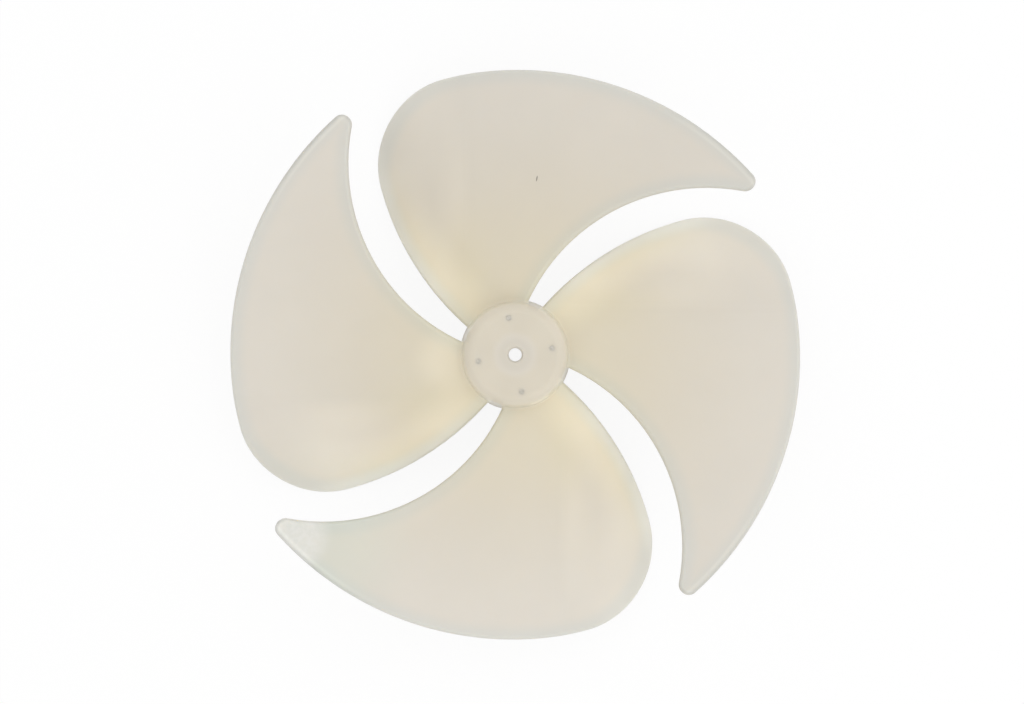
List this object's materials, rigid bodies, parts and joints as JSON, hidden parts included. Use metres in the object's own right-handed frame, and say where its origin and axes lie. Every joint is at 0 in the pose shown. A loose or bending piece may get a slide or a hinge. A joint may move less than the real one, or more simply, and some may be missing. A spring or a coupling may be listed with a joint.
{
  "type": "condenser fan blade",
  "caption": "Axial fan blade moulding: broad swept blades round a closed hub cup with a press-fit shaft bore, for a small condenser cooling motor.",
  "frame": {"origin": "on the shaft axis, in the plane of the hub's rear rim, where the straight wall of the shaft bore starts", "axes": "+Z along the shaft axis from the motor side to the front face, +Y along the middle of the first blade, +X towards that blade's leading edge"},
  "size_m": [0.1338, 0.1338, 0.0331],
  "materials": {
    "natural_plastic": "satin, slightly translucent"
  },
  "bodies": {
    "root": {"fan_blade": "natural_plastic"}
  },
  "joints": []
}
